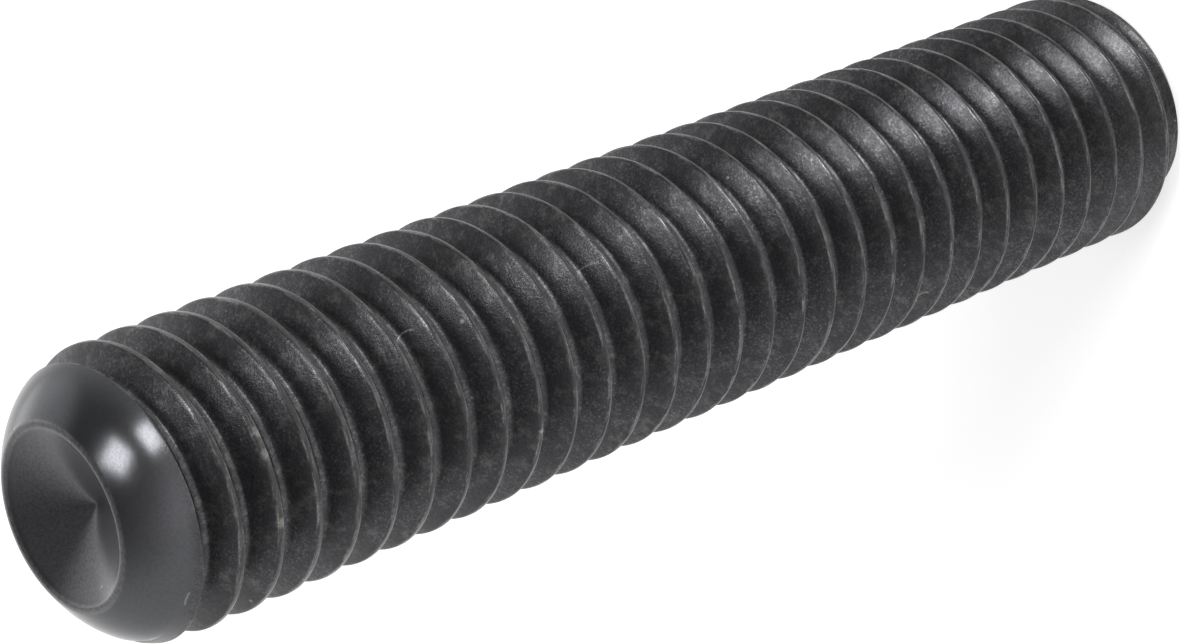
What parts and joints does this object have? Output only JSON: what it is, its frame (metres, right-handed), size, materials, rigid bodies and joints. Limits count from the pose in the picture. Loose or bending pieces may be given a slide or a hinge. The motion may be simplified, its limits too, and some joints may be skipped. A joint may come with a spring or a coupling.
{
  "type": "socket set screw",
  "caption": "Fully threaded steel set screw with a cup point at one end and a hexagon socket at the other, black oxide finish.",
  "frame": {"origin": "middle of the socket end's flat face, on the screw's axis", "axes": "+Z along the screw's axis from the socket end to the cup point"},
  "size_m": [0.0078, 0.0078, 0.0397],
  "materials": {
    "black_steel": "black oxide over hardened alloy steel, satin, with thin bright wear along the thread's crests"
  },
  "bodies": {
    "root": {"set_screw": "black_steel"}
  },
  "joints": []
}
